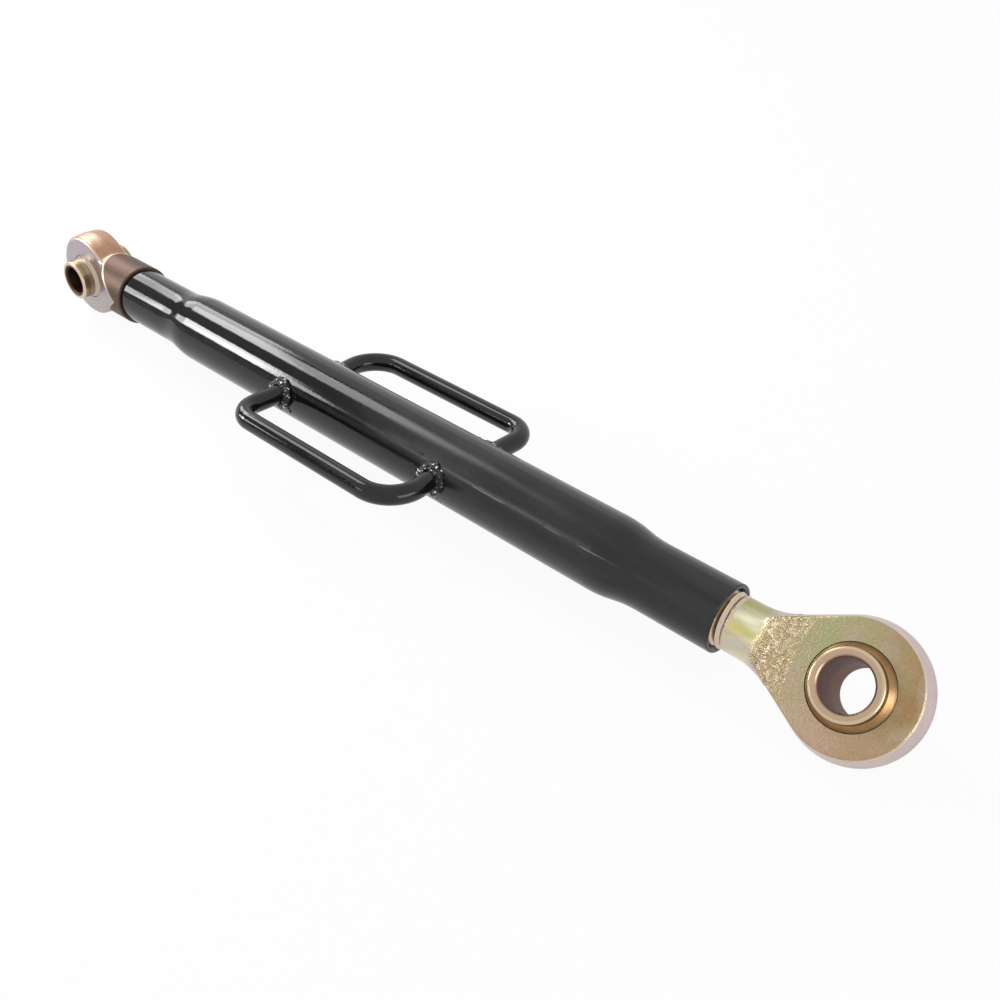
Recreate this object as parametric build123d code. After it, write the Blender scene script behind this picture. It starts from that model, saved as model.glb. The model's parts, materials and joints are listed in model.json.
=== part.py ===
"""Tractor top link: a turnbuckle barrel with two welded handles and a swivel ball end at each side.

Frame: origin at the centre of the small ball's bore, +X along the link to the large ball, Y along the
small bore, +Z up. Millimetres. The link is drawn closed, with both ends screwed in.
"""

import os
from math import cos, radians, sin, sqrt, tan

from build123d import *

# Barrel: a tube whose ends are swaged down and tapped
tube_length = 500.0
tube_od = 44.45
tube_wall = 5.2
mouth_wall = 3.0  # round the tapped mouths, after swaging
bore_relief = 0.95  # how much wider than the tapped mouths the tube is inside, at each side
swage_straight = 47.0
swage_taper = 28.0
mouth_round = 0.8
tapped_length = 58.0
countersink = 1.2

# Screw thread, drawn plain at its outer diameter
thread_clearance = 0.2
thread_chamfer = 1.8
shank_gap = 88.0  # left between the two shanks in the barrel when the link is closed

# Handles: round bar, one tight bend and one wide bend each
bar_d = 11.8
handle_span = 138.0  # between the two bends' corners
handle_reach = 57.2  # from the barrel's axis to the outer run
handle_height = 3.4  # of the bars above the barrel's axis
handle_turn = -3.0  # of the barrel and its handles about the link, degrees
tight_bend_r = 15.0
wide_bend_r = 21.0
wide_leg_lean = 7.5  # of the leg after the wide bend, towards the handle's middle, degrees
weld_leg = 5.0
weld_crown = 0.6

# Large ball end: forged eye with a slim turned neck
large_end_turn = -43.0  # of the eye about the link, degrees
large_mouth_gap = 70.5  # from the eye's centre to the barrel's mouth
large_eye_r = 35.4
large_eye_thickness = 26.8
large_eye_draft = 11.0
large_rim_round = 1.6
large_flank_angle = 28.0
large_neck_d = 29.6
large_neck_blend = 40.0
large_turn_start = 51.0  # from the eye's centre to the end of the plain neck
large_turn_angle = 33.0
large_scoop_end = 60.0  # from the eye's centre to where the neck is full round
large_thread_shows = 6.0  # thread left outside the barrel when the link is closed

# Large ball
large_ball_d = 49.4
large_ball_width = 44.5
large_collar_d = 35.2
large_bore_d = 25.7

# Small ball end: forged eye let into a thick turned neck
small_mouth_gap = 57.0
small_eye_r = 30.0
small_eye_thickness = 22.0
small_eye_draft = 5.0
small_rim_round = 3.0
small_flank_angle = 38.0
small_neck_d = 42.0
small_neck_chamfer = 0.8
small_recess_corner = 5.0  # radius where the recess comes to a point, towards the barrel
small_neck_gap = 0.3  # between the neck's shoulder and the barrel's mouth when the link is closed

# Small ball
small_ball_d = 38.5
small_ball_width = 44.0
small_collar_d = 28.0
small_bore_d = 19.4

# Shared by both ends
seat_clearance = 0.25
bore_chamfer = 1.0
collar_round = 1.2
collar_root = 1.5

tapped_r = tube_od / 2 - tube_wall - bore_relief
thread_r = tapped_r - thread_clearance
swage_r = tapped_r + mouth_wall
large_tail = large_mouth_gap - large_thread_shows  # from an eye's centre to its thread
small_tail = small_mouth_gap - small_neck_gap
barrel_middle = small_mouth_gap + tube_length / 2
pin_spacing = small_mouth_gap + tube_length + large_mouth_gap
shank_reach = (tube_length - shank_gap) / 2  # of a shank into the barrel
barrel_place = Pos(barrel_middle, 0, 0) * Rot(handle_turn, 0, 0)
large_eye_place = Pos(pin_spacing, 0, 0) * Rot(large_end_turn, 0, 0)
small_eye_place = Rot(0, 0, 180)
half_turn = Rot(0, 0, 180)


def along_link(shape):
    """Turn a shape drawn along Z to lie along the link."""
    return Rot(0, 90, 0) * shape


def across_link(shape):
    """Turn a shape drawn along Z to lie across the link."""
    return Rot(90, 0, 0) * shape


def turned(*lines):
    """Solid of revolution about the link from a closed half section, given as length and radius."""
    return revolve(Plane.XZ * make_face(Curve() + list(lines)), Axis.X)


def barrel():
    """Swaged tube: S-shaped tapers of two tangent arcs, tapped mouths and a wider bore between."""
    tube_r = tube_od / 2
    bore_r = tube_r - tube_wall
    half = tube_length / 2
    swage_at = half - swage_straight
    full_at = swage_at - swage_taper
    halfway = ((full_at + swage_at) / 2, (tube_r + swage_r) / 2)
    bend_in = TangentArc((full_at, tube_r), halfway, tangent=(1, 0))
    bend_out = TangentArc(halfway, (swage_at, swage_r), tangent=bend_in % 1)
    edge_start = (half - mouth_round, swage_r)
    edge_end = (half, swage_r - mouth_round)
    straight = Line((swage_at, swage_r), edge_start)
    edge = TangentArc(edge_start, edge_end, tangent=(1, 0))
    inside = Polyline(
        edge_end,
        (half, tapped_r + countersink),
        (half - countersink, tapped_r),
        (half - tapped_length, tapped_r),
        (half - tapped_length - bore_relief, bore_r),
        (0, bore_r),
        (0, tube_r),
        (full_at, tube_r),
    )
    half_tube = turned(bend_in, bend_out, straight, edge, inside)
    return half_tube + mirror(half_tube, Plane.YZ)


def tube_core():
    """The middle of the barrel as a plain bar, for coping what is welded to it."""
    return along_link(Cylinder(tube_od / 2, handle_span + tube_od))


def handle():
    """Right handle: bar bent out of the barrel, along it and back, its feet coped to the tube."""
    small_corner = -handle_span / 2
    large_corner = handle_span / 2
    large_foot = large_corner - handle_reach * tan(radians(wide_leg_lean))
    line = FilletPolyline(
        (small_corner, 0),
        (small_corner, -handle_reach),
        (large_corner, -handle_reach),
        (large_foot, 0),
        radius=[tight_bend_r, wide_bend_r],
    )
    bar = sweep(Plane(line @ 0, z_dir=line % 0) * Circle(bar_d / 2), path=line)
    return Pos(0, 0, handle_height) * bar - tube_core()


def weld(corner, lean, bar):
    """Fillet bead round a foot of the right handle, given its leg's bend corner and lean."""
    tube_r = tube_od / 2
    toe_r = bar_d / 2 + weld_leg
    toe_depth = sqrt(tube_r**2 - (toe_r + handle_height) ** 2)
    foot = corner - (handle_reach - toe_depth) * tan(radians(lean))
    bottom_up = (Align.CENTER, Align.CENTER, Align.MIN)
    bead = Cone(toe_r, bar_d / 2 + weld_crown, tube_r - toe_depth + weld_leg, align=bottom_up)
    return Pos(foot, -toe_depth, handle_height) * Rot(0, 0, lean) * across_link(bead) - tube_core() - bar


def eye_section(eye_r, thickness, draft, rim_round, inner_r):
    """Cut through the eye's rim, drafted from its middle plane: distance from the bore, then across."""
    half = thickness / 2
    edge = eye_r - half * tan(radians(draft))
    outline = Polyline((inner_r, -half), (edge, -half), (eye_r, 0), (edge, half), (inner_r, half), close=True)
    section = make_face(outline)
    corners = [v for v in section.vertices() if abs(v.X - edge) < rim_round / 100]
    return fillet(corners, rim_round)


def tangent_plane(flank_angle, side):
    """Plane through the bore at the point where a flank leaves the eye, facing the neck."""
    slope = radians(flank_angle)
    outward = (-sin(slope), 0, side * cos(slope))
    inward = (-cos(slope), 0, -side * sin(slope))
    return Plane((0, 0, 0), x_dir=outward, z_dir=inward)


def forged_eye(eye_r, thickness, draft, rim_round, flank_angle):
    """Round eye with two flanks that leave it along tangents and close in on the neck."""
    upper = tangent_plane(flank_angle, 1)
    lower = tangent_plane(flank_angle, -1)
    reach = eye_r / tan(radians(flank_angle)) + eye_r
    disc = revolve(upper * eye_section(eye_r, thickness, draft, rim_round, 0), Axis.Y, 180 + 2 * flank_angle)
    slab = eye_section(eye_r, thickness, draft, rim_round, -reach)
    return disc + (extrude(upper * slab, amount=reach) & extrude(lower * slab, amount=reach))


def lathe_envelope(eye_r, neck_r, turn_start, turn_angle, tail):
    """What the lathe leaves of the forging: a plain neck, then a cone out past the eye's corners."""
    reach = 2 * (tail + eye_r)
    cone_end = reach / tan(radians(turn_angle)) - turn_start
    return turned(
        Polyline(
            (-tail, 0),
            (-tail, neck_r),
            (-turn_start, neck_r),
            (cone_end, neck_r + reach),
            (cone_end + reach, neck_r + reach),
            (cone_end + reach, 0),
            close=True,
        )
    )


def slim_neck(eye_r, thickness, flank_angle, neck_r, blend, scoop_end, tail):
    """Round neck blended into the flanks, its two sides scooped down to the eye's faces."""
    slope = radians(flank_angle)
    meet = eye_r * sin(slope) + (eye_r * cos(slope) - neck_r) / tan(slope)
    run = blend * tan(slope / 2)
    blend_start = (-meet - run, neck_r)
    blend_end = (-meet + run * cos(slope), neck_r + run * sin(slope))
    flare = TangentArc(blend_start, blend_end, tangent=(1, 0))
    rest = Polyline(blend_end, (blend_end[0], 0), (-tail, 0), (-tail, neck_r), blend_start)
    scoop_start = (blend_end[0], thickness / 2)
    scoop = TangentArc(scoop_start, (-scoop_end, neck_r), tangent=(-1, 0))
    above = Polyline((-scoop_end, neck_r), (-scoop_end, eye_r), (blend_end[0], eye_r), scoop_start)
    waste = extrude(make_face(Curve() + [scoop, above]), amount=eye_r, both=True)
    return turned(flare, rest) - waste - mirror(waste, Plane.XZ)


def thick_neck(eye_r, thickness, flank_angle, neck_r, tail):
    """Round neck wider than the eye is thick, cut back round the eye's outline down to its faces."""
    slope = radians(flank_angle)
    touch = (-eye_r * sin(slope), eye_r * cos(slope))
    point = (-eye_r / sin(slope), 0)
    flanks = make_face(Polyline(touch, point, (touch[0], -touch[1]), close=True))
    corner = flanks.vertices().sort_by(Axis.X)[0]
    outline = Circle(eye_r) + fillet(corner, small_recess_corner)
    waste = extrude(Plane.XZ.offset(thickness / 2) * outline, amount=neck_r)
    bar = Cylinder(neck_r, tail)
    bar = chamfer(bar.edges().sort_by(Axis.Z)[0], small_neck_chamfer)
    return Pos(-tail / 2, 0, 0) * along_link(bar) - waste - mirror(waste, Plane.XZ)


def shank(tail, length):
    """Threaded shank, drawn plain, from the neck into the barrel."""
    bar = Cylinder(thread_r, length)
    bar = chamfer(bar.edges().filter_by(GeomType.CIRCLE), thread_chamfer)
    return Pos(-tail - length / 2, 0, 0) * along_link(bar)


def ball_end(eye, neck, tail, thread_shows, ball_d):
    """Forged eye, turned neck and threaded shank in one piece, hollowed for the ball."""
    return eye + neck + shank(tail, thread_shows + shank_reach) - Sphere(ball_d / 2 + seat_clearance)


def swivel_ball(ball_d, width, collar_d, bore_d):
    """Pierced ball with a plain collar at each side, its bore across the link."""
    half = width / 2
    collar_r = collar_d / 2
    root = sqrt(ball_d**2 - collar_d**2) / 2
    beside_bore = Pos(bore_d / 2 + ball_d / 2, 0) * Rectangle(ball_d, width)
    section = (Circle(ball_d / 2) + Rectangle(collar_d, width)) & beside_bore
    for place, size, soften in (
        ((collar_r, root), collar_root, fillet),
        ((collar_r, half), collar_round, fillet),
        ((bore_d / 2, half), bore_chamfer, chamfer),
    ):
        corners = [v for v in section.vertices() if (abs(v.X - place[0]) + abs(abs(v.Y) - place[1])) < 0.01]
        section = soften(corners, size)
    return revolve(section, Axis.Y)


right_handle = handle()
large_eye = forged_eye(large_eye_r, large_eye_thickness, large_eye_draft, large_rim_round, large_flank_angle)
large_eye &= lathe_envelope(large_eye_r, large_neck_d / 2, large_turn_start, large_turn_angle, large_tail)
large_neck = slim_neck(
    large_eye_r,
    large_eye_thickness,
    large_flank_angle,
    large_neck_d / 2,
    large_neck_blend,
    large_scoop_end,
    large_tail,
)
small_eye = forged_eye(small_eye_r, small_eye_thickness, small_eye_draft, small_rim_round, small_flank_angle)
small_neck = thick_neck(small_eye_r, small_eye_thickness, small_flank_angle, small_neck_d / 2, small_tail)
large_end = ball_end(large_eye, large_neck, large_tail, large_thread_shows, large_ball_d)
small_end = ball_end(small_eye, small_neck, small_tail, small_neck_gap, small_ball_d)
large_swivel = swivel_ball(large_ball_d, large_ball_width, large_collar_d, large_bore_d)
small_swivel = swivel_ball(small_ball_d, small_ball_width, small_collar_d, small_bore_d)

nodes = {
    "barrel_tube": barrel_place * barrel(),
    "right_handle": barrel_place * right_handle,
    "left_handle": barrel_place * half_turn * right_handle,
    "large_ball_end": large_eye_place * large_end,
    "large_ball": large_eye_place * large_swivel,
    "small_ball_end": small_eye_place * small_end,
    "small_ball": small_swivel,
}
for corner, lean, right_end, left_end in (
    (-handle_span / 2, 0, "small", "large"),
    (handle_span / 2, wide_leg_lean, "large", "small"),
):
    bead = weld(corner, lean, right_handle)
    nodes[f"right_handle_{right_end}_end_weld"] = barrel_place * bead
    nodes[f"left_handle_{left_end}_end_weld"] = barrel_place * half_turn * bead

os.makedirs("parts", exist_ok=True)
for name, solid in nodes.items():
    export_step(solid, f"parts/{name}.step")
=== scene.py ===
"""Tractor top link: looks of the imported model, in metres, in the model's own frame."""

import json
from math import ceil, cos, hypot, pi, radians, sin, sqrt, tau
from random import Random

import bmesh
import bpy
from mathutils import Matrix, Quaternion, Vector, noise


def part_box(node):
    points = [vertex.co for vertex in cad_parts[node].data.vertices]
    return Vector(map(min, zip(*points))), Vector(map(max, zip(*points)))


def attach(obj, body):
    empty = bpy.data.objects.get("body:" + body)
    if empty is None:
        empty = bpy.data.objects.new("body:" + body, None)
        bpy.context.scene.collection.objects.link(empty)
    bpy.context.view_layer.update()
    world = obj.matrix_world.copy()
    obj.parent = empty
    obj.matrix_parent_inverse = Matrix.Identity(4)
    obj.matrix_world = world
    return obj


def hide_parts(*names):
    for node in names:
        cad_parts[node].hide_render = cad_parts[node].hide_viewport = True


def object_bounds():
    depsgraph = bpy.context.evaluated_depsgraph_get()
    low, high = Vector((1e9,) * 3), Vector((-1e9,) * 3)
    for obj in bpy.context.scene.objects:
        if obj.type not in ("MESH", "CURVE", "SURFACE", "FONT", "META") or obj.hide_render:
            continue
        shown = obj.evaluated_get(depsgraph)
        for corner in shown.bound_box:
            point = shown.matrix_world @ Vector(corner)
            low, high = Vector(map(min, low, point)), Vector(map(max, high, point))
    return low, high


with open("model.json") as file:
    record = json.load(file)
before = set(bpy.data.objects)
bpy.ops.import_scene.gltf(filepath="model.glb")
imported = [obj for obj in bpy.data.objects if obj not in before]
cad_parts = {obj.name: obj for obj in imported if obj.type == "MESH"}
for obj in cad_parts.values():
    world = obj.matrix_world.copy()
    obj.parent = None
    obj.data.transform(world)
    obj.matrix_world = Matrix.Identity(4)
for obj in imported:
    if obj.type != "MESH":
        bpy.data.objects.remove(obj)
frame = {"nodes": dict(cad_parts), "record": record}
cad_low, cad_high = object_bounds()
nodes = frame["nodes"]

# Barrel: drawn steel tube, swaged down at both ends and tapped, one end right-hand and one left-hand.
# It is sprayed gloss black after the handles are welded on, with a fine orange peel and dry haze towards
# the large end. A light grey line along the side above the right is a painted reflection, carrying the
# strip lamp's line on where the paint is too rough to show it.
tube_low, tube_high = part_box("barrel_tube")
tube_r = (tube_high.y - tube_low.y) / 2
mouth_small = tube_low.x
mouth_large = tube_high.x
haze_from = 0.27
haze_to = 0.38
# the light line painted from here on along the side is a painted reflection of the strip lamp
reflection_line_from = 0.398
reflection_line_to = 0.53
reflection_line_lead = 0.004
reflection_line_fade = 0.08
reflection_line_angle = radians(33)  # above the right side
reflection_line_core = 0.004  # radians off the line
reflection_line_edge = 0.022
paint_ior = 1.44
gloss_black = (0.004, 0.004, 0.0043)
hazy_black = (0.012, 0.012, 0.0125)
dust_grey = (0.05, 0.05, 0.05)
# colour of the painted reflection line
reflection_line_grey = (0.3, 0.3, 0.3)


class Level:
    """A shader socket that takes part in Python arithmetic."""

    def __init__(self, finish, socket):
        self.finish = finish
        self.socket = socket

    def maths(self, operation, other=0.0, swapped=False):
        """One Math node on this value and another."""
        terms = (other, self) if swapped else (self, other)
        return self.finish.add("ShaderNodeMath", {"operation": operation}, dict(enumerate(terms)))

    def __add__(self, other):
        return self.maths("ADD", other)

    def __sub__(self, other):
        return self.maths("SUBTRACT", other)

    def __rsub__(self, other):
        return self.maths("SUBTRACT", other, swapped=True)

    def __mul__(self, other):
        return self.maths("MULTIPLY", other)

    def __pow__(self, other):
        return self.maths("POWER", other)

    def __abs__(self):
        return self.maths("ABSOLUTE")

    __radd__ = __add__
    __rmul__ = __mul__


class Finish:
    """A material or a world, built node by node."""

    def __init__(self, owner):
        owner.use_nodes = True
        self.owner = owner
        self.tree = owner.node_tree
        self.tree.nodes.clear()

    def add(self, kind, settings, sockets, out=0):
        """Put in one node, set it, fill its sockets, and hand back one of its outputs."""
        node = self.tree.nodes.new(kind)
        for name, value in settings.items():
            setattr(node, name, value)
        for name, value in sockets.items():
            if isinstance(value, Level):
                self.tree.links.new(value.socket, node.inputs[name])
            else:
                node.inputs[name].default_value = value
        return Level(self, node.outputs[out]) if node.outputs else None

    def place(self, at=(0, 0, 0), turn=(0, 0, 0), stretch=(1, 1, 1)):
        """Object coordinates about a point, turned and stretched."""
        coords = self.add("ShaderNodeTexCoord", {}, {}, out="Object")
        mapping = {"Vector": coords, "Location": at, "Rotation": turn, "Scale": stretch}
        return self.add("ShaderNodeMapping", {"vector_type": "TEXTURE"}, mapping)

    def split(self, vector):
        """The three coordinates of a place."""
        node = self.add("ShaderNodeSeparateXYZ", {}, {"Vector": vector}).socket.node
        return [Level(self, socket) for socket in node.outputs]

    def cloud(self, vector, size, detail=2.0, rough=0.5, low=0.35, high=0.65):
        """Noise with features of a given size in metres, spread between 0 and 1."""
        sockets = {"Vector": vector, "Scale": 1 / size, "Detail": detail, "Roughness": rough}
        grey = self.add("ShaderNodeTexNoise", {}, sockets)
        span = {"Value": grey, "From Min": low, "From Max": high}
        return self.add("ShaderNodeMapRange", {"clamp": True}, span)

    def band(self, value, start, end):
        """0 before start, 1 after end, and smooth between."""
        span = {"Value": value, "From Min": start, "From Max": end}
        return self.add("ShaderNodeMapRange", {"interpolation_type": "SMOOTHSTEP"}, span)

    def blend(self, factor, first, second):
        """Mix two colours."""
        tones = [tone if isinstance(tone, Level) else (*tone, 1) for tone in (first, second)]
        sockets = {"Factor": factor, "A": tones[0], "B": tones[1]}
        return self.add("ShaderNodeMix", {"data_type": "RGBA"}, sockets, out="Result")

    def relief(self, height, depth, strength):
        """Bump from a height between 0 and 1, its depth in metres."""
        return self.add("ShaderNodeBump", {}, {"Height": height, "Distance": depth, "Strength": strength})

    def surface(self, **sockets):
        """Close the material with one Principled shader."""
        named = {name.replace("_", " "): value for name, value in sockets.items()}
        shader = self.add("ShaderNodeBsdfPrincipled", {}, named)
        self.add("ShaderNodeOutputMaterial", {}, {"Surface": shader})
        return self.owner


paint = Finish(bpy.data.materials.new("barrel_black_paint"))
here = paint.place()
x, y, z = paint.split(here)
peel = paint.cloud(here, size=0.0016, detail=3)
haze = paint.cloud(paint.place(stretch=(8, 1, 1)), size=0.006, detail=4)
patches = paint.cloud(paint.place(stretch=(3, 1, 1)), size=0.012, detail=3, low=0.45, high=0.7)
dust = paint.cloud(here, size=0.0007, low=0.62, high=0.74)
reflection_line_breaks = paint.cloud(paint.place(stretch=(7, 1, 1)), size=0.0035, detail=4, low=0.44, high=0.62)
dull = paint.band(x, haze_from, haze_to)
around = z.maths("ARCTAN2", y * -1)
# painted reflection: a thin light line along the side above the right, broken along its length
on_reflection_line = 1 - paint.band(abs(around - reflection_line_angle), reflection_line_core, reflection_line_edge)
begun = paint.band(x, reflection_line_from, reflection_line_from + reflection_line_lead)
ended = paint.band(x, reflection_line_to - reflection_line_fade, reflection_line_to)
reflection_line = on_reflection_line * reflection_line_breaks * begun * (1 - ended)
tone = paint.blend(haze * dull, gloss_black, hazy_black)
tone = paint.blend(dust * dull * 0.2, tone, dust_grey)
tone = paint.blend(reflection_line * 0.7, tone, reflection_line_grey)
nodes["barrel_tube"].material_slots[0].material = paint.surface(
    Base_Color=tone,
    Roughness=0.07 + dull * 0.12 + haze * dull * 0.08 + patches * 0.04 + reflection_line * 0.25,
    Normal=paint.relief(peel, depth=0.00002, strength=0.5),
    IOR=paint_ior,
)

# Handles: two lengths of round bar, each with one tight and one wide bend, for turning the barrel by hand.
# They are welded on before painting, so they carry the same black, a little thin and chipped in places.
bar_black = (0.0035, 0.0035, 0.0038)
thin_black = (0.0065, 0.0065, 0.007)
chip_grey = (0.12, 0.12, 0.12)

paint = Finish(bpy.data.materials.new("handle_black_paint"))
here = paint.place()
peel = paint.cloud(here, size=0.002, detail=2)
haze = paint.cloud(paint.place(stretch=(6, 1, 1)), size=0.005, detail=4)
chips = paint.cloud(here, size=0.0035, detail=5, rough=0.7, low=0.70, high=0.73)
tone = paint.blend(haze, bar_black, thin_black)
tone = paint.blend(chips * 0.3, tone, chip_grey)
handle_black = paint.surface(
    Base_Color=tone,
    Roughness=0.05 + haze * 0.04 + chips * 0.15,
    Normal=paint.relief(peel, depth=0.00001, strength=0.5),
    IOR=paint_ior,
)
for name in ("right_handle", "left_handle"):
    nodes[name].material_slots[0].material = handle_black

# Weld beads: one fillet bead round each foot of the handles, laid in overlapping ripples, with spatter.
# The bead follows the saddle where the bar meets the tube. Paint over it is thin and leaves bare crests.
bar_r = 0.0059
bar_lift = 0.0034
wide_leg_lean = radians(7.5)
barrel_roll = Matrix.Rotation(radians(-3.0), 4, "X")
bead_leg = 0.0046
bead_spread = 1.25
bead_rise = 1.3
bead_back = -0.3  # the section is flat behind here, where it lies on bar and tube
bead_steps = 144
bead_corners = 18
bead_ripples = 9
ripple_middle = 0.55
ripple_depth = 0.0006
lumps_per_metre = 330
lump_depth = 0.0009
grit_per_metre = 950
grit_depth = 0.00035
noise_stride = 3.7  # sets the beads' lumps apart
spatter_near = 16
spatter_far = 4
spatter_small = 0.0003
spatter_large = 0.0008
spatter_reach = 0.0085
spatter_lift = 0.2
weld_dark = (0.003, 0.003, 0.003)
weld_crust = (0.008, 0.008, 0.008)
bare_steel = (0.75, 0.74, 0.72)

paint = Finish(bpy.data.materials.new("weld_black_paint"))
here = paint.place()
crust = paint.cloud(here, size=0.0015, detail=2, rough=0.5)
bare = paint.cloud(here, size=0.0020, detail=2, rough=0.6, low=0.60, high=0.64)
tone = paint.blend(crust, weld_dark, weld_crust)
weld_black = paint.surface(
    Base_Color=paint.blend(bare, tone, bare_steel),
    Roughness=0.08 + crust * 0.06 + bare * 0.1,
    Metallic=bare,
    Normal=paint.relief(crust, depth=0.0006, strength=0.9),
    IOR=paint_ior,
)


def tube_side(height):
    """How far the tube's side lies from its middle plane at a height."""
    return sqrt(max(tube_r**2 - height**2, 0))


def made(bm, name, finish):
    """Turn a finished mesh into an object in the scene."""
    mesh = bpy.data.meshes.new(name)
    bm.to_mesh(mesh)
    bm.free()
    mesh.materials.append(finish)
    thing = bpy.data.objects.new(name, mesh)
    bpy.context.scene.collection.objects.link(thing)
    return thing


def weld_bead(node, side, lean, seed, spatter):
    """Rippled bead round a leg with spatter beside it: side is -1 on the right and 1 on the left."""
    low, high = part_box(node)
    bm = bmesh.new()
    bmesh.ops.create_circle(bm, segments=bead_corners, radius=1)
    for v in bm.verts:
        across = (max(v.co.x, bead_back) - bead_back) / 2
        up = (max(v.co.y, bead_back) - bead_back) / 2
        v.co = (bar_r + bead_leg * across * bead_spread, 0, bead_leg * up * bead_rise)
    section = bm.verts[:] + bm.edges[:]
    bmesh.ops.spin(
        bm, geom=section, cent=(0, 0, 0), axis=(0, 0, 1), angle=tau, steps=bead_steps, use_merge=True
    )
    bmesh.ops.remove_doubles(bm, verts=bm.verts, dist=1e-6)
    shift = Vector((seed * noise_stride, 0, 0))
    for v in bm.verts:
        outwards = Vector((v.co.x, v.co.y, 0)).normalized()
        turn = Vector((1, 0)).angle_signed(outwards.xy, 0)
        ripple = abs(sin(turn * bead_ripples / 2 + seed)) - ripple_middle
        lump = noise.noise(v.co * lumps_per_metre + shift)
        grit = noise.noise(v.co * grit_per_metre + shift)
        swell = ripple_depth * ripple + lump_depth * lump + grit_depth * grit
        v.co += (outwards + Vector((0, 0, 1))) * swell
    dice = Random(seed)
    for _ in range(spatter):
        size = dice.uniform(spatter_small, spatter_large)
        turn = dice.uniform(0, tau)
        reach = bar_r + bead_leg + dice.uniform(0, spatter_reach) * dice.random()
        spot = Matrix.Translation((reach * cos(turn), reach * sin(turn), size * spatter_lift))
        bmesh.ops.create_icosphere(bm, subdivisions=2, radius=size, matrix=spot)
    # local z leaves the tube along the leg, local x runs along the link
    stand = Matrix(((1, 0, 0), (0, 0, -1), (0, 1, 0))).to_4x4()
    bm.transform(Matrix.Rotation(lean, 4, "Z") @ stand)
    for v in bm.verts:
        v.co.z += bar_lift
        v.co.y -= tube_side(v.co.z)
    if side > 0:
        bm.transform(Matrix.Rotation(pi, 4, "Z"))
    bm.transform(Matrix.Translation(((low.x + high.x) / 2, 0, 0)) @ barrel_roll)
    bmesh.ops.recalc_face_normals(bm, faces=bm.faces)
    bead = made(bm, node.replace("weld", "bead"), weld_black)
    bead.data.shade_smooth()
    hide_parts(node)
    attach(bead, "barrel")


weld_bead("right_handle_small_end_weld", side=-1, lean=0.0, seed=1, spatter=spatter_near)
weld_bead("right_handle_large_end_weld", side=-1, lean=wide_leg_lean, seed=2, spatter=spatter_near)
weld_bead("left_handle_large_end_weld", side=1, lean=0.0, seed=3, spatter=spatter_far)
weld_bead("left_handle_small_end_weld", side=1, lean=wide_leg_lean, seed=4, spatter=spatter_far)

# Ball ends: drop forgings with a turned neck and a long screwed shank, right-hand at the large end and
# left-hand at the small end. They are zinc plated and yellow passivated, so the colour drifts from
# straw to pink, lilac and brown, and the screw is cut after forging and runs out at the neck.
pin_x = frame["record"]["mounts"][1]["pos_m"][0]
large_turn = radians(-43.0)
thread_pitch = 0.0254 / 7
thread_r = 0.03175 / 2
thread_depth = 0.6134 * thread_pitch
thread_crest = thread_pitch / 8
thread_slope = 0.5774  # tangent of half the 60 degrees between the flanks
thread_steps = 40
thread_runout = 0.010
thread_overlap = 0.002  # how far the screw starts inside the neck
spare_turns = 2  # at each end, cut away again
runout_r = thread_r - 0.0013
neck_margin = 0.00002  # how far before its end the neck is cut
crease_angle = radians(28)
edge_from = 0.0022  # below the eye's face
face_from = 0.0010
face_full = 0.0002
thread_tone = (0.60, 0.48, 0.36)


class Zones:
    """Where a place on a forging lies: coordinates about its eye, with local x towards the barrel."""

    def __init__(self, zinc, at, turn, half):
        self.local = zinc.place(at=at, turn=turn)
        self.streaks = zinc.place(at=at, turn=turn, stretch=(5, 1, 1))
        self.x, self.y, self.z = zinc.split(self.local)
        self.face = zinc.band(abs(self.y), half - face_from, half - face_full)
        self.edge = zinc.band(abs(self.y), half - edge_from, half - face_from) * (1 - self.face)


def everything(bm):
    """All the vertices, edges and faces of a mesh."""
    return bm.verts[:] + bm.edges[:] + bm.faces[:]


def slice_across(bm, x, outwards, clear):
    """Cut a mesh by a plane across the link, and clear what lies outwards of it if asked."""
    bmesh.ops.bisect_plane(
        bm,
        geom=everything(bm),
        dist=1e-7,
        plane_co=(x, 0, 0),
        plane_no=(outwards, 0, 0),
        clear_outer=clear,
    )


def close_ends(bm):
    """Put a face over each open end."""
    bmesh.ops.holes_fill(bm, edges=[e for e in bm.edges if e.is_boundary], sides=0)


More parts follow.
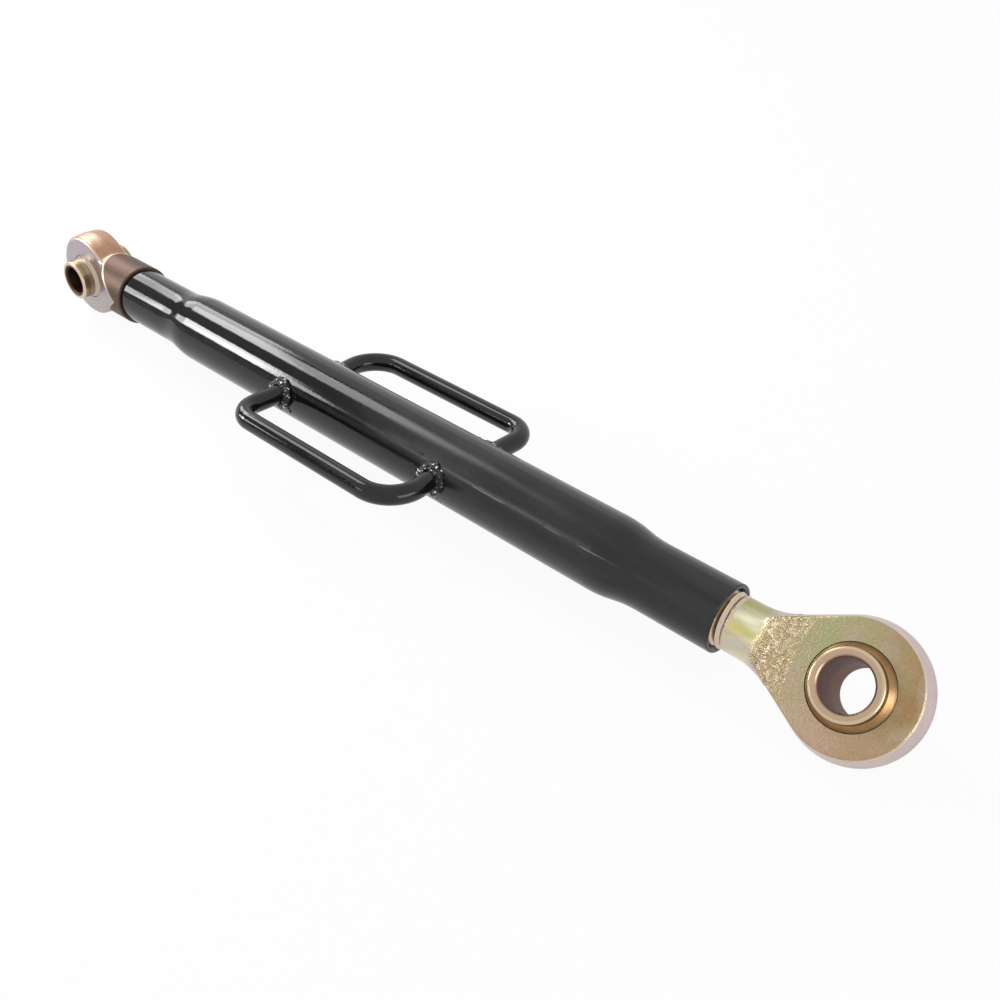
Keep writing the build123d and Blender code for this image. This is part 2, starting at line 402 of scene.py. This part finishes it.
def screw_thread(bm, start, end, hand):
    """Add a screwed shank along x between two planes; hand is 1 for right-hand, -1 for left-hand."""
    low, high = sorted((start, end))
    first = low - thread_pitch * spare_turns
    flank = thread_depth * thread_slope
    profile = (
        (0.0, thread_r),
        (thread_crest, thread_r),
        (thread_crest + flank, thread_r - thread_depth),
        (thread_pitch - flank, thread_r - thread_depth),
        (thread_pitch, thread_r),
    )
    screw = bmesh.new()
    line = [screw.verts.new((first + along, 0, r)) for along, r in profile]
    ribs = [screw.edges.new(pair) for pair in zip(line, line[1:])]
    bmesh.ops.spin(
        screw,
        geom=line + ribs,
        cent=(0, 0, 0),
        axis=(1, 0, 0),
        dvec=(thread_pitch / thread_steps, 0, 0),
        angle=hand * tau,
        steps=thread_steps,
    )
    turn = everything(screw)
    for count in range(1, ceil((high - low) / thread_pitch) + 2 * spare_turns):
        copy = bmesh.ops.duplicate(screw, geom=turn)["geom"]
        copied = [part for part in copy if isinstance(part, bmesh.types.BMVert)]
        bmesh.ops.translate(screw, verts=copied, vec=(thread_pitch * count, 0, 0))
    bmesh.ops.remove_doubles(screw, verts=screw.verts, dist=2e-6)
    slice_across(screw, low, -1, clear=True)
    slice_across(screw, high, 1, clear=True)
    for v in screw.verts:
        runout = max(1 - abs(v.co.x - start) / thread_runout, 0)
        radius = hypot(v.co.y, v.co.z)
        v.co.yz = v.co.yz * (1 + runout * (runout_r / radius - 1))
    close_ends(screw)
    bmesh.ops.recalc_face_normals(screw, faces=screw.faces)
    part = bpy.data.meshes.new("screw_thread")
    screw.to_mesh(part)
    screw.free()
    bm.from_mesh(part)
    bpy.data.meshes.remove(part)


def cut_at_neck(node, neck_end, inwards):
    """The forging from the frame without its plain shank."""
    bm = bmesh.new()
    bm.from_mesh(nodes[node].data)
    bmesh.ops.remove_doubles(bm, verts=bm.verts, dist=1e-6)
    slice_across(bm, neck_end - inwards * neck_margin, inwards, clear=True)
    close_ends(bm)
    return bm


def forging(bm, name, node, body, finish):
    """Turn the finished mesh of a forging into the piece that stands for its node."""
    piece = made(bm, name, finish)
    piece.data.shade_smooth()
    piece.data.set_sharp_from_angle(angle=crease_angle)
    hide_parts(node)
    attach(piece, body)


# Large ball end: a slim lathe-turned neck, scooped at the sides, with some thread left outside the barrel.
# The forged skin stays rough between the neck and the eye; its crests are painted light as highlights and
# its hollows painted dark as shade. The zinc is olive straw on the faces, pink on the lower side, brown at
# the tip and lilac round the rim, with a painted highlight along the faces' edges. The neck shows streaks
# from the lathe, its pale and copper streaks partly painted reflections, and its top is painted darker as
# shade.
thread_outside = 0.006
large_neck_end = mouth_large + thread_outside
to_thread = pin_x - large_neck_end
thread_fade = 0.0004
large_half = 0.0134
neck_from = 0.045  # places along local x, from the eye's centre
neck_full = 0.052
skin_from = 0.024
skin_full = 0.034
skin_fades = 0.045
skin_gone = 0.050
tip_full = -0.030
tip_to = 0.020
low_full = -0.028  # places along local z
low_to = 0.004
# the neck's top is painted darker from here up, as shade
neck_top_shade_from = 0.004
neck_top_shade_full = 0.012
ragged_wide = 0.014
ragged_fine = 0.008
olive_straw = (0.29, 0.33, 0.16)
pink_straw = (0.39, 0.29, 0.19)
tip_brown = (0.31, 0.160, 0.060)
pale_blush = (0.46, 0.37, 0.33)
low_pink = (0.45, 0.27, 0.20)
grain_straw = (0.52, 0.42, 0.25)
wall_lilac = (0.54, 0.42, 0.45)
wall_pink = (0.58, 0.47, 0.43)
# painted highlight along the faces' rounded edges
edge_highlight_cream = (0.74, 0.64, 0.44)
# painted highlight on the forged skin's crests, painted shade in its hollows
skin_crest_highlight = (0.82, 0.64, 0.46)
skin_hollow_shade = (0.42, 0.31, 0.13)
# the neck's streaks follow the lathe, and the pale and copper ones are partly painted reflections
neck_olive = (0.54, 0.50, 0.19)
neck_highlight_pale = (0.84, 0.82, 0.66)
neck_sheen_copper = (0.80, 0.55, 0.38)
neck_lilac = (0.50, 0.44, 0.50)
# painted shade on the top of the neck
neck_top_shade_olive = (0.35, 0.33, 0.16)
pit_brown = (0.20, 0.14, 0.08)

bm = cut_at_neck("large_ball_end", large_neck_end, inwards=-1)
screw_thread(bm, large_neck_end + thread_overlap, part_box("large_ball_end")[0].x, hand=1)

zinc = Finish(bpy.data.materials.new("large_end_yellow_zinc"))
zone = Zones(zinc, at=(pin_x, 0, 0), turn=(-large_turn, 0, pi), half=large_half)
drift = zinc.cloud(zone.local, size=0.014, detail=6, rough=0.65, low=0.38, high=0.62)
blush = zinc.cloud(zone.local, size=0.011, detail=5, rough=0.65, low=0.47, high=0.64)
scorch = zinc.cloud(zone.local, size=0.017, detail=6, rough=0.6, low=0.36, high=0.64)
grain = zinc.cloud(zone.local, size=0.0009, detail=3, low=0.3, high=0.7)
pits = zinc.cloud(zone.local, size=0.0024, detail=4, rough=0.65, low=0.64, high=0.70)
skin = zinc.cloud(zone.local, size=0.0027, detail=4, rough=0.6, low=0.40, high=0.60)
bands = zinc.cloud(zone.streaks, size=0.010, detail=3, low=0.36, high=0.62)
sheen = zinc.cloud(zone.streaks, size=0.0075, detail=3, low=0.46, high=0.66)
tint = zinc.cloud(zone.streaks, size=0.006, detail=3, low=0.48, high=0.68)
neck = zinc.band(zone.x, neck_from, neck_full)
neck_top_shade = zinc.band(zone.z, neck_top_shade_from, neck_top_shade_full)
thread = zinc.band(zone.x, to_thread - thread_fade, to_thread)
ragged = zone.x + (scorch - 0.5) * ragged_wide + (drift - 0.5) * ragged_fine
beside_neck = zinc.band(ragged, skin_from, skin_full) * (1 - zinc.band(zone.x, skin_fades, skin_gone))
forged = beside_neck * zone.face
tip = 1 - zinc.band(zone.x, tip_full, tip_to)
low_side = 1 - zinc.band(zone.z, low_full, low_to)
face_tone = zinc.blend(drift, olive_straw, pink_straw)
face_tone = zinc.blend(tip * (0.3 + scorch * 0.7), face_tone, tip_brown)
face_tone = zinc.blend(blush * 0.45, face_tone, pale_blush)
face_tone = zinc.blend(low_side * 0.5, face_tone, low_pink)
face_tone = zinc.blend(grain * 0.35, face_tone, grain_straw)
wall_tone = zinc.blend(drift, wall_lilac, wall_pink)
# lathe streaks with painted reflections in the pale and copper bands
neck_tone = zinc.blend(bands, neck_olive, neck_highlight_pale)
neck_tone = zinc.blend(sheen * 0.7, neck_tone, neck_sheen_copper)
neck_tone = zinc.blend(tint * 0.6, neck_tone, neck_lilac)
# painted shade: the top of the neck darker
neck_tone = zinc.blend(neck_top_shade * 0.8, neck_tone, neck_top_shade_olive)
tone = zinc.blend(zone.face, wall_tone, face_tone)
# painted highlight along the edge of each face
tone = zinc.blend(zone.edge * 0.55, tone, edge_highlight_cream)
# painted highlights on the skin's crests and painted shade in its hollows
tone = zinc.blend(forged * skin * 0.7, tone, skin_crest_highlight)
tone = zinc.blend(forged * (1 - skin) * 0.4, tone, skin_hollow_shade)
tone = zinc.blend(neck, tone, neck_tone)
tone = zinc.blend(thread, tone, thread_tone)
tone = zinc.blend(pits * 0.35, tone, pit_brown)
height = skin * forged * 0.7 - pits * 0.10 + grain * (0.10 - neck * 0.09)
large_zinc = zinc.surface(
    Base_Color=tone,
    Roughness=0.30 + grain * 0.12 - forged * 0.10 - neck * 0.06,
    Metallic=1.0,
    Normal=zinc.relief(height, depth=0.0013, strength=0.9),
)
forging(bm, "large_forging", "large_ball_end", "large_end", large_zinc)

# Small ball end: the thick turned neck stands proud of the eye's faces, and its edge along the recess round
# the eye is worn bright and carries a painted highlight. The zinc is lilac on the faces, with a painted
# highlight along their edges, copper round the rim and brown on the neck, which is painted darker as shade.
mouth_gap = 0.0003
small_neck_end = mouth_small - mouth_gap
thread_from = small_neck_end + 0.0001
thread_full = small_neck_end + 0.0004
small_half = 0.011
small_eye_r = 0.030
flank_slope = radians(38.0)
flank_fade = 0.0005
recess_from = -0.0002  # off the eye's outline
recess_to = 0.0006
rim_to = 0.0016
neck_slices = 18
slice_gap = 0.003
face_lilac = (0.43, 0.375, 0.42)
face_grey = (0.46, 0.41, 0.39)
wall_copper = (0.40, 0.22, 0.13)
wall_rose = (0.46, 0.30, 0.23)
# painted highlight along the faces' rounded edges
small_edge_highlight = (0.60, 0.48, 0.38)
# brown zinc on the neck, painted darker as shade
neck_shade_brown = (0.092, 0.064, 0.049)
neck_shade_red_brown = (0.118, 0.072, 0.058)
# painted highlight on the neck's edge round the recess, over plating worn lighter there
rim_highlight_straw = (0.74, 0.66, 0.50)
dull_blush = (0.40, 0.33, 0.26)

bm = cut_at_neck("small_ball_end", small_neck_end, inwards=1)
# slices keep the long faces of the neck from shading in fans
for step in range(1, neck_slices + 1):
    slice_across(bm, small_neck_end - step * slice_gap, 1, clear=False)
screw_thread(bm, small_neck_end - thread_overlap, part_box("small_ball_end")[1].x, hand=-1)

zinc = Finish(bpy.data.materials.new("small_end_yellow_zinc"))
zone = Zones(zinc, at=(0, 0, 0), turn=(0, 0, 0), half=small_half)
drift = zinc.cloud(zone.local, size=0.014, detail=3, low=0.40, high=0.60)
blush = zinc.cloud(zone.local, size=0.008, detail=4, rough=0.6, low=0.48, high=0.66)
grain = zinc.cloud(zone.local, size=0.0008, detail=3, low=0.3, high=0.7)
bands = zinc.cloud(zone.streaks, size=0.009, detail=3, low=0.38, high=0.62)
off_centre = (zone.x * zone.x + zone.z * zone.z) ** 0.5
on_flank = zinc.band(zone.x * cos(flank_slope) - abs(zone.z) * sin(flank_slope), 0, flank_fade)
off_flank = zone.x * sin(flank_slope) + abs(zone.z) * cos(flank_slope) - small_eye_r
outside = (off_centre - small_eye_r) * (1 - on_flank) + off_flank * on_flank
neck = zinc.band(outside, recess_from, recess_to)
# painted highlight along the rim, over worn plating
rim_highlight_line = neck * (1 - zinc.band(outside, recess_to, rim_to))
thread = zinc.band(zone.x, thread_from, thread_full)
face_tone = zinc.blend(drift, face_lilac, face_grey)
wall_tone = zinc.blend(drift, wall_copper, wall_rose)
# brown neck with painted shade
neck_tone = zinc.blend(bands, neck_shade_brown, neck_shade_red_brown)
tone = zinc.blend(zone.face, wall_tone, face_tone)
# painted highlight along the edge of each face
tone = zinc.blend(zone.edge * 0.4, tone, small_edge_highlight)
tone = zinc.blend(neck, tone, neck_tone)
tone = zinc.blend(rim_highlight_line * 0.7, tone, rim_highlight_straw)
tone = zinc.blend(blush * (1 - neck) * 0.25, tone, dull_blush)
tone = zinc.blend(thread, tone, thread_tone)
small_zinc = zinc.surface(
    Base_Color=tone,
    Roughness=0.30 + grain * 0.10 + neck * (1 - thread) * 0.15,
    Metallic=1.0,
    Normal=zinc.relief(grain, depth=0.00006, strength=0.6),
)
forging(bm, "small_forging", "small_ball_end", "small_end", small_zinc)

# Swivel balls: turned from bar with a collar at each side, bored for the hitch pin, pressed into the eyes.
# The same yellow zinc over fine lathe rings, thick and gold on the ball, with a painted highlight round
# each collar's outer edge and the bore painted dark brown as shade.
collar_from = 0.0060  # below the collar's end face
collar_full = 0.0045
ring_from = 0.0013
ring_full = 0.0003
# a painted highlight runs round the collar's outer edge
lip_from = 0.0020  # inside the collar's outer edge
lip_full = 0.0010
hole_fade = 0.0005
drift_straw = (0.50, 0.40, 0.22)
ring_blush = (0.56, 0.40, 0.32)
lip_highlight_gold = (0.74, 0.60, 0.42)


def turned_zinc(node, at, turn, hole_r, collar_r, half, ball_tone, collar_tone, ring_tone, hole_shade_tone):
    """Yellow zinc over lathe rings round the bore, which lies along local y."""
    zinc = Finish(bpy.data.materials.new(node + "_zinc"))
    local = zinc.place(at=at, turn=turn)
    x, y, z = zinc.split(local)
    away = (x * x + z * z) ** 0.5
    rings = zinc.add("ShaderNodeCombineXYZ", {}, {"X": away, "Y": y, "Z": 0.0})
    cut = zinc.cloud(rings, size=0.00035)
    drift = zinc.cloud(local, size=0.011, detail=3, low=0.38, high=0.62)
    blush = zinc.cloud(rings, size=0.004, low=0.42, high=0.64)
    collar = zinc.band(abs(y), half - collar_from, half - collar_full)
    ring = zinc.band(abs(y), half - ring_from, half - ring_full)
    # painted highlight round the collar's outer edge
    lip_highlight = ring * zinc.band(away, collar_r - lip_from, collar_r - lip_full)
    hole = 1 - zinc.band(away, hole_r, hole_r + hole_fade)
    tone = zinc.blend(collar, ball_tone, collar_tone)
    tone = zinc.blend(ring, tone, ring_tone)
    tone = zinc.blend(drift * 0.3, tone, drift_straw)
    tone = zinc.blend(blush * 0.35, tone, ring_blush)
    tone = zinc.blend(lip_highlight * 0.5, tone, lip_highlight_gold)
    # painted shade: the bore and its chamfer darkened
    tone = zinc.blend(hole, tone, hole_shade_tone)
    nodes[node].material_slots[0].material = zinc.surface(
        Base_Color=tone,
        Roughness=0.2 + cut * 0.1 + hole * 0.3,
        Metallic=1.0,
        Normal=zinc.relief(cut, depth=0.00004, strength=0.6),
    )


turned_zinc(
    "large_ball",
    at=(pin_x, 0, 0),
    turn=(large_turn, 0, 0),
    hole_r=0.0130,
    collar_r=0.0176,
    half=0.02225,
    ball_tone=(0.30, 0.155, 0.060),
    collar_tone=(0.40, 0.25, 0.135),
    ring_tone=(0.43, 0.295, 0.19),
    # dark brown painted shade down the bore
    hole_shade_tone=(0.155, 0.065, 0.045),
)
turned_zinc(
    "small_ball",
    at=(0, 0, 0),
    turn=(0, 0, 0),
    hole_r=0.0113,
    collar_r=0.0140,
    half=0.022,
    ball_tone=(0.46, 0.38, 0.31),
    collar_tone=(0.27, 0.19, 0.095),
    ring_tone=(0.62, 0.50, 0.42),
    hole_shade_tone=(0.075, 0.045, 0.030),
)

# Studio: a white sweep under the link, white surroundings, softboxes beyond the small end and grey cloths
# behind them. Their reflections are the bright streaks along the far half of the barrel, edged with dark.
floor_half = 4
floor_x = 0.3
floor_glow = 0.93  # share of pure white, the rest takes the link's shadow
room_light = 0.75
full_white = (1, 1, 1, 1)
sweep_white = (0.8, 0.8, 0.8, 1)
cloth_grey = (0.25, 0.25, 0.25, 1)


def shown_white(finish):
    """1 where the camera sees a surface, straight or by a mirror or glass."""
    camera_ray = finish.add("ShaderNodeLightPath", {}, {}, out="Is Camera Ray")
    mirror_ray = finish.add("ShaderNodeLightPath", {}, {}, out="Is Glossy Ray")
    glass_ray = finish.add("ShaderNodeLightPath", {}, {}, out="Is Transmission Ray")
    return camera_ray.maths("MAXIMUM", mirror_ray).maths("MAXIMUM", glass_ray)


sweep = Finish(bpy.data.materials.new("white_sweep"))
matt = sweep.add("ShaderNodeBsdfDiffuse", {}, {"Color": sweep_white})
glow = sweep.add("ShaderNodeEmission", {}, {"Color": full_white, "Strength": 1.0})
shown = sweep.add("ShaderNodeMixShader", {}, {0: shown_white(sweep) * floor_glow, 1: matt, 2: glow})
sweep.add("ShaderNodeOutputMaterial", {}, {"Surface": shown})

bm = bmesh.new()
bmesh.ops.create_grid(bm, x_segments=1, y_segments=1, size=floor_half)
bm.transform(Matrix.Translation((floor_x, 0, cad_low.z)))
floor = made(bm, "floor", sweep.owner)

room = Finish(bpy.data.worlds.new("white_room"))
lit = room.add("ShaderNodeBackground", {}, {"Color": full_white, "Strength": room_light})
white = room.add("ShaderNodeBackground", {}, {"Color": full_white, "Strength": 1.0})
sky = room.add("ShaderNodeMixShader", {}, {0: shown_white(room), 1: lit, 2: white})
room.add("ShaderNodeOutputWorld", {}, {"Surface": sky})
bpy.context.scene.world = room.owner

cloth = Finish(bpy.data.materials.new("grey_cloth"))
cloth.surface(Base_Color=cloth_grey, Roughness=0.9)


def beside(x, bearing, reach=1.0):
    """A place beside the link's axis, at an angle in degrees above its right side."""
    return (x, -reach * cos(radians(bearing)), reach * sin(radians(bearing)))


def flag(name, x, bearing, reach, length, width):
    """A cloth behind or below the softboxes that faces the axis, hidden from the camera."""
    bm = bmesh.new()
    bmesh.ops.create_grid(bm, x_segments=1, y_segments=1, size=0.5)
    bm.transform(Matrix.Rotation(radians(90 - bearing), 4, "X") @ Matrix.Diagonal((length, width, 1, 1)))
    bm.transform(Matrix.Translation(beside(x, bearing, reach)))
    cover = made(bm, name, cloth.owner)
    cover.visible_camera = False


flag("side_flag", x=-2.20, bearing=64, reach=1.08, length=3.2, width=2.4)
flag("low_flag", x=-2.15, bearing=4, reach=1.04, length=3.6, width=0.40)


def area_lamp(name, shape, place, turn, length, width, power):
    """An area lamp, turned about its own axis first."""
    lamp = bpy.data.lights.new(name, "AREA")
    lamp.shape = shape
    lamp.size = length
    lamp.size_y = width
    lamp.energy = power
    holder = bpy.data.objects.new(name, lamp)
    holder.location = place
    holder.rotation_mode = "ZYX"
    holder.rotation_euler = turn
    bpy.context.scene.collection.objects.link(holder)


def softbox(name, shape, x, bearing, spin, length, width, power):
    """An area lamp a metre from the link's axis that faces it."""
    turn = (radians(90 - bearing), 0, radians(spin))
    area_lamp(name, shape, beside(x, bearing), turn, length, width, power)


softbox("front_softbox", "RECTANGLE", x=-0.94, bearing=35, spin=-10, length=0.40, width=0.42, power=9.2)
softbox("front_softbox_tail", "ELLIPSE", x=-0.78, bearing=31, spin=-6, length=0.38, width=0.26, power=2.0)
softbox("front_softbox_far", "RECTANGLE", x=-1.71, bearing=34, spin=0, length=1.08, width=0.42, power=12.5)
softbox("top_softbox", "RECTANGLE", x=-0.96, bearing=102, spin=5, length=0.40, width=0.74, power=5.6)
softbox("top_softbox_tail", "ELLIPSE", x=-0.68, bearing=93, spin=0, length=0.82, width=0.50, power=5.2)
softbox("top_softbox_far", "RECTANGLE", x=-1.58, bearing=108, spin=0, length=0.78, width=0.66, power=9.6)
softbox("strip_light", "RECTANGLE", x=-0.20, bearing=26, spin=0, length=0.40, width=0.02, power=0.55)
area_lamp("side_card", "RECTANGLE", (1.9, -0.15, 0.30), (0, pi / 2, 0), length=0.7, width=1.2, power=8.0)

# Camera: close to the large end, above and to the right of the link, which runs away from it to the upper
# left. It is rolled a little, and the picture is plain, without a film look.
roll = Quaternion((0, 0, 1), radians(1.38))
aim = Vector((0.4061, -0.0025, -0.0026))
view = bpy.data.cameras.new("camera")
view.lens = 42.98
view.sensor_width = 36
camera = bpy.data.objects.new("camera", view)
camera.location = (0.7663, -0.4058, 0.3928)
level = (aim - camera.location).to_track_quat("-Z", "Y")
camera.rotation_euler = (level @ roll).to_euler()
bpy.context.scene.collection.objects.link(camera)
bpy.context.scene.camera = camera
bpy.context.scene.view_settings.view_transform = "Standard"
